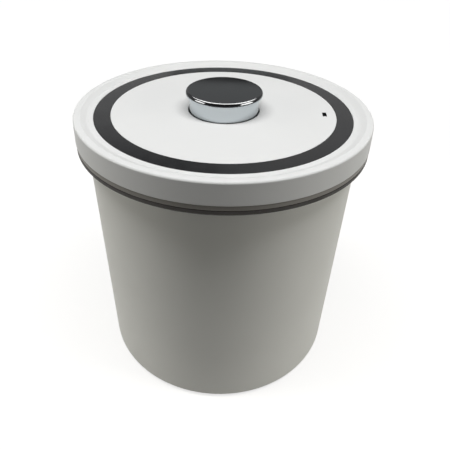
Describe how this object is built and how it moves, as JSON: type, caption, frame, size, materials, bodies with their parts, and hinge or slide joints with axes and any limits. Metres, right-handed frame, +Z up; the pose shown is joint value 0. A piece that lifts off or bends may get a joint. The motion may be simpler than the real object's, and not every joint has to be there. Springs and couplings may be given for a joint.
{
  "type": "vacuum seal canister",
  "caption": "Round white storage canister with a lift-off lid that seals on a silicone gasket and is evacuated by pressing a sprung chrome pump knob.",
  "frame": {"origin": "centre of the canister's base, on the surface that it stands on", "axes": "+Z up along the canister's axis; the release slot in the lid lies on +X"},
  "size_m": [0.1518, 0.1518, 0.1606],
  "materials": {
    "white_body": "satin white moulded plastic",
    "white_lid": "satin white moulded plastic",
    "black_inlay": "semi-gloss black",
    "dark_silicone": "matt dark brown-grey silicone",
    "base_plastic": "matt warm grey moulded plastic",
    "pump_plastic": "natural acetal",
    "black_rubber": "black nitrile",
    "filter_felt": "needled felt",
    "valve_silicone": "red silicone",
    "chrome": "mirror chrome plating",
    "black_gloss": "gloss black",
    "steel": "bright steel",
    "pin_plastic": "matt black"
  },
  "bodies": {
    "canister": {"canister_body": "white_body"},
    "lid": {"lid_cover": "white_lid", "trim_ring": "black_inlay", "lid_gasket": "dark_silicone", "lid_base": "base_plastic", "cover_screws": "steel", "screw_seals": "dark_silicone", "pump_barrel": "pump_plastic", "barrel_seal": "black_rubber", "barrel_nut": "pump_plastic", "barrel_gland": "pump_plastic", "inlet_filter": "filter_felt", "filter_cap": "base_plastic", "return_spring": "steel", "release_spring": "steel"},
    "pump": {"knob_shell": "chrome", "knob_cap": "black_gloss", "knob_screw": "steel", "pump_rod": "pump_plastic", "piston": "pump_plastic", "piston_ring": "black_rubber", "piston_screw": "steel"},
    "intake_valve": {"intake_valve": "valve_silicone"},
    "exhaust_valve": {"exhaust_valve": "valve_silicone"},
    "release": {"release_pin": "pin_plastic", "release_poppet": "pin_plastic", "release_seal": "dark_silicone"}
  },
  "joints": [
    {"name": "lid_lift", "type": "slide", "parent": "canister", "child": "lid", "axis": [0, 0, 1], "range_m": [0, 0.06]},
    {"name": "pump_press", "type": "slide", "parent": "lid", "child": "pump", "axis": [0, 0, 1], "range_m": [-0.0075, 0], "stiffness_N_per_m": 250, "springref_m": 0.02, "deforming": ["return_spring"]},
    {"name": "intake_valve_lift", "type": "slide", "parent": "lid", "child": "intake_valve", "axis": [0, 0, 1], "range_m": [0, 0.0008]},
    {"name": "exhaust_valve_lift", "type": "slide", "parent": "pump", "child": "exhaust_valve", "axis": [0, 0, 1], "range_m": [0, 0.0008]},
    {"name": "release_press", "type": "slide", "parent": "lid", "child": "release", "axis": [0, 0, 1], "range_m": [-0.0016, 0], "stiffness_N_per_m": 300, "springref_m": 0.005, "deforming": ["release_spring"]}
  ]
}
